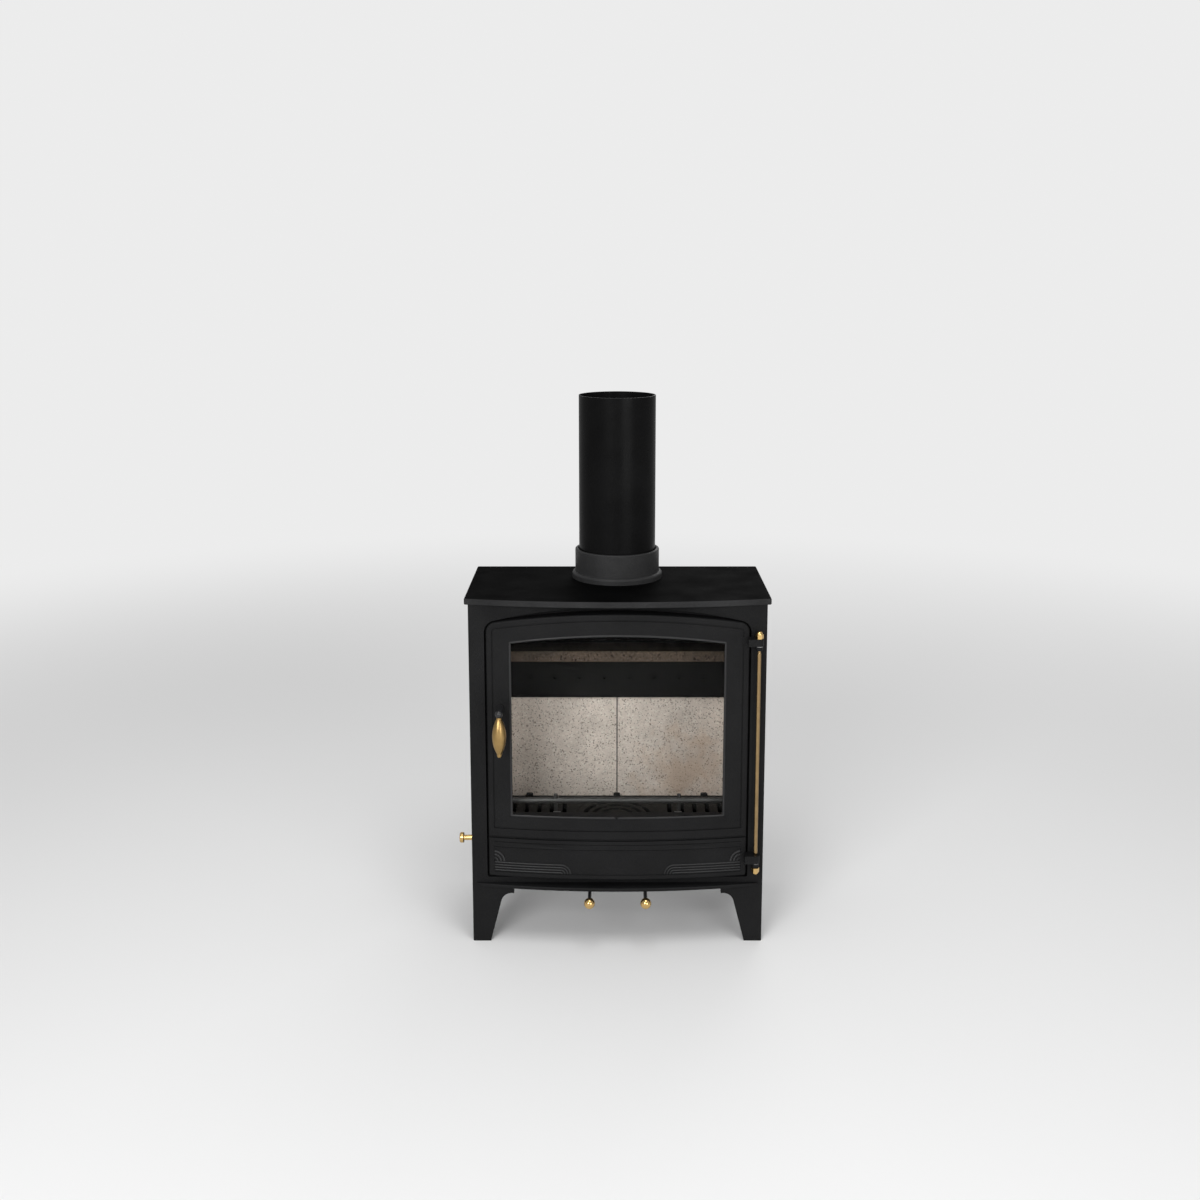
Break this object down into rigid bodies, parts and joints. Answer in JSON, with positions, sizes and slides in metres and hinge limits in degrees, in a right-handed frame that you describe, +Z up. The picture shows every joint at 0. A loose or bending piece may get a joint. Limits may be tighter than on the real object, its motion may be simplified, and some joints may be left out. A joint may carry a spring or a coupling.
{
  "type": "multi-fuel stove",
  "caption": "Free-standing multi-fuel stove with a bow-fronted glazed door, brass hinge rod and handle, riddling grate, ash pan, air slides, legs and a top flue pipe.",
  "frame": {"origin": "on the hearth, the plane that the four feet stand on, under the middle of the whole extent: from the riddling knob to the top plate's right end, and from the air knobs to the top plate's rear edge", "axes": "+Z up, the door faces -Y, +X to the right of someone who faces the door"},
  "size_m": [0.514, 0.294, 0.9],
  "materials": {
    "black_cast_iron": "matt black stove paint on a fine sand-cast skin",
    "black_steel_plate": "matt black stove paint on rolled steel plate",
    "raw_cast_iron": "dark heat-blackened casting",
    "black_flue_enamel": "satin black flue paint",
    "dark_sheet_steel": "dark heat-proof paint on folded sheet",
    "zinc_steel": "zinc plated",
    "black_rod_steel": "blackened bright bar",
    "polished_brass": "polished and turned",
    "satin_brass": "satin, slightly dulled by the hand",
    "vermiculite": "pressed vermiculite board, speckled and matt",
    "baffle_board": "pressed vermiculite board, browned by smoke",
    "stove_glass": "clear ceramic glass",
    "rope_seal": "knitted black glass-fibre rope"
  },
  "bodies": {
    "stove_body": {"acorn_nuts": "polished_brass", "air_box": "dark_sheet_steel", "air_risers": "dark_sheet_steel", "airwash_deflector": "dark_sheet_steel", "back_plate": "black_steel_plate", "baffle_plate": "baffle_board", "baffle_rests": "dark_sheet_steel", "base_plate": "black_steel_plate", "blanking_plate_bolts": "zinc_steel", "collar_bolts": "zinc_steel", "collar_rope": "rope_seal", "flue_collar": "black_cast_iron", "flue_pipe": "black_flue_enamel", "front_left_leg": "black_cast_iron", "front_plate": "black_cast_iron", "front_right_leg": "black_cast_iron", "grate_bearers": "dark_sheet_steel", "grate_frame": "raw_cast_iron", "hinge_brackets": "black_cast_iron", "hinge_rod": "polished_brass", "hinge_washers": "zinc_steel", "latch_keeper": "black_rod_steel", "left_rear_brick": "vermiculite", "left_side_brick": "vermiculite", "left_side_plate": "black_steel_plate", "leg_bolts": "zinc_steel", "log_guard": "dark_sheet_steel", "pan_runners": "dark_sheet_steel", "rear_blanking_plate": "black_cast_iron", "rear_left_leg": "black_cast_iron", "rear_right_leg": "black_cast_iron", "right_rear_brick": "vermiculite", "right_side_brick": "vermiculite", "right_side_plate": "black_steel_plate", "secondary_air_duct": "dark_sheet_steel", "slide_guides": "dark_sheet_steel", "top_plate": "black_cast_iron", "top_plate_bolts": "zinc_steel"},
    "door": {"door_casting": "black_cast_iron", "window_glass": "stove_glass", "glass_rope": "rope_seal", "glass_clips": "zinc_steel", "clip_screws": "zinc_steel", "door_rope": "rope_seal"},
    "handle": {"handle_spindle": "black_rod_steel", "handle_grip": "satin_brass", "grip_nut": "satin_brass", "latch_tongue": "black_rod_steel", "spindle_nut": "zinc_steel"},
    "riddle_pull": {"riddle_rod": "black_rod_steel", "riddle_knob": "polished_brass"},
    "grate_disc": {"riddling_disc": "raw_cast_iron"},
    "ash_drawer": {"ash_pan": "dark_sheet_steel"},
    "primary_control": {"primary_slide": "dark_sheet_steel", "primary_rod": "black_rod_steel", "primary_knob": "polished_brass"},
    "secondary_control": {"secondary_slide": "dark_sheet_steel", "secondary_rod": "black_rod_steel", "secondary_knob": "polished_brass"}
  },
  "joints": [
    {"name": "door_swing", "type": "hinge", "parent": "stove_body", "child": "door", "pos_m": [0.237, -0.108, 0.33], "axis": [0, 0, 1], "range_deg": [0, 110]},
    {"name": "handle_turn", "type": "hinge", "parent": "door", "child": "handle", "pos_m": [-0.18, -0.087, 0.408], "axis": [0, -1, 0], "range_deg": [0, 85]},
    {"name": "riddle_slide", "type": "slide", "parent": "stove_body", "child": "riddle_pull", "axis": [-1, 0, 0], "range_m": [0, 0.024]},
    {"name": "grate_turn", "type": "hinge", "parent": "stove_body", "child": "grate_disc", "pos_m": [0.01, 0.017, 0.17], "axis": [0, 0, -1], "range_deg": [-1, 27]},
    {"name": "ash_pan_slide", "type": "slide", "parent": "stove_body", "child": "ash_drawer", "axis": [0, -1, 0], "range_m": [0, 0.13]},
    {"name": "primary_air_slide", "type": "slide", "parent": "stove_body", "child": "primary_control", "axis": [0, -1, 0], "range_m": [0, 0.02]},
    {"name": "secondary_air_slide", "type": "slide", "parent": "stove_body", "child": "secondary_control", "axis": [0, -1, 0], "range_m": [0, 0.02]}
  ],
  "couplings": [
    {"joint": "grate_turn", "follows": "riddle_slide", "rad_per_m": 18.62},
    {"joint": "ash_pan_slide", "follows": "door_swing", "m_per_rad": 0.065}
  ]
}
